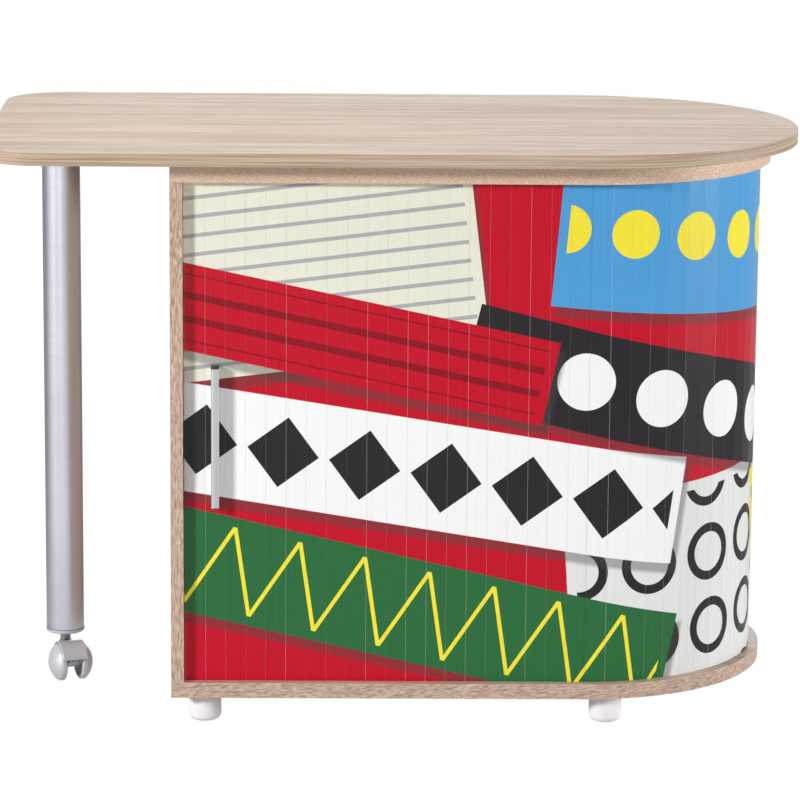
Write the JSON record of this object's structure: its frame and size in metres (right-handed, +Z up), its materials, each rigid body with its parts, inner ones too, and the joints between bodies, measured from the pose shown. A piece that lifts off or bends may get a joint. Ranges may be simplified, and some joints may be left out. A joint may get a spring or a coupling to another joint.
{
  "type": "swivel desk",
  "caption": "Swivel desk: a wood-decor table top turns on a pivot over a round-ended cabinet with a printed sliding shutter, and stands on a tube leg with a caster.",
  "frame": {"origin": "on the floor, under the middle of the table top's length and depth", "axes": "+X along the table top towards the cabinet's round end, +Y to the back, +Z up; the shutter's flat side faces -Y"},
  "size_m": [1.05, 0.56, 0.75],
  "materials": {
    "oak_decor": "satin pale oak decor",
    "white_plastic": "satin white",
    "printed_plastic": "semi-gloss print of plain coloured papers",
    "satin_aluminium": "satin anodised silver",
    "black_plastic": "matt black",
    "zinc_steel": "bright zinc plated",
    "cast_zinc": "plain die-cast zinc",
    "nylon": "natural nylon",
    "silver_plastic": "silver-grey satin paint",
    "beech": "plain beech"
  },
  "bodies": {
    "cabinet": {"bottom_board": "oak_decor", "top_panel": "oak_decor", "side_panel": "oak_decor", "partition": "oak_decor", "false_back": "oak_decor", "back_panel": "oak_decor", "lower_shelf": "oak_decor", "upper_shelf": "oak_decor", "foot_front_left": "white_plastic", "foot_front_right": "white_plastic", "foot_back_left": "white_plastic", "foot_back_right": "white_plastic", "front_slats": "printed_plastic", "bend_slats": "printed_plastic", "tail_slats": "printed_plastic", "glide_ring": "nylon", "pivot_bush": "nylon", "glide_pads": "nylon", "carcass_dowels": "beech", "cam_bolts": "zinc_steel", "cam_locks": "cast_zinc", "foot_studs": "zinc_steel", "shelf_pins": "zinc_steel"},
    "table": {"table_top": "oak_decor", "pivot_plate": "zinc_steel", "pivot_plate_screws": "zinc_steel", "pivot_washer": "zinc_steel", "pivot_nut": "zinc_steel", "leg_flange": "zinc_steel", "leg_flange_screws": "zinc_steel", "leg_tube": "satin_aluminium", "leg_end_cap": "silver_plastic", "caster_sleeve": "zinc_steel"},
    "shutter": {"lead_slat": "printed_plastic", "handle_slat": "printed_plastic", "handle": "satin_aluminium", "handle_end_caps": "black_plastic", "handle_screws": "zinc_steel"},
    "caster": {"caster_stem": "zinc_steel", "stem_clip": "zinc_steel", "caster_hood": "silver_plastic", "caster_axle": "zinc_steel"},
    "left_wheel": {"wheel_left": "silver_plastic"},
    "right_wheel": {"wheel_right": "silver_plastic"}
  },
  "joints": [
    {"name": "table_swivel", "type": "hinge", "parent": "cabinet", "child": "table", "pos_m": [0.245, 0, 0.7], "axis": [0, 0, 1], "continuous": true},
    {"name": "caster_swivel", "type": "hinge", "parent": "table", "child": "caster", "pos_m": [-0.438, 0, 0.06], "axis": [0, 0, 1], "continuous": true},
    {"name": "wheel_left_spin", "type": "hinge", "parent": "caster", "child": "left_wheel", "pos_m": [-0.43013, -0.02161, 0.025], "axis": [0.9397, 0.342, 0], "continuous": true},
    {"name": "wheel_right_spin", "type": "hinge", "parent": "caster", "child": "right_wheel", "pos_m": [-0.43013, -0.02161, 0.025], "axis": [0.9397, 0.342, 0], "continuous": true},
    {"name": "shutter_slide", "type": "slide", "parent": "cabinet", "child": "shutter", "axis": [1, 0, 0], "range_m": [0, 0.447], "deforming": ["front_slats"]}
  ]
}
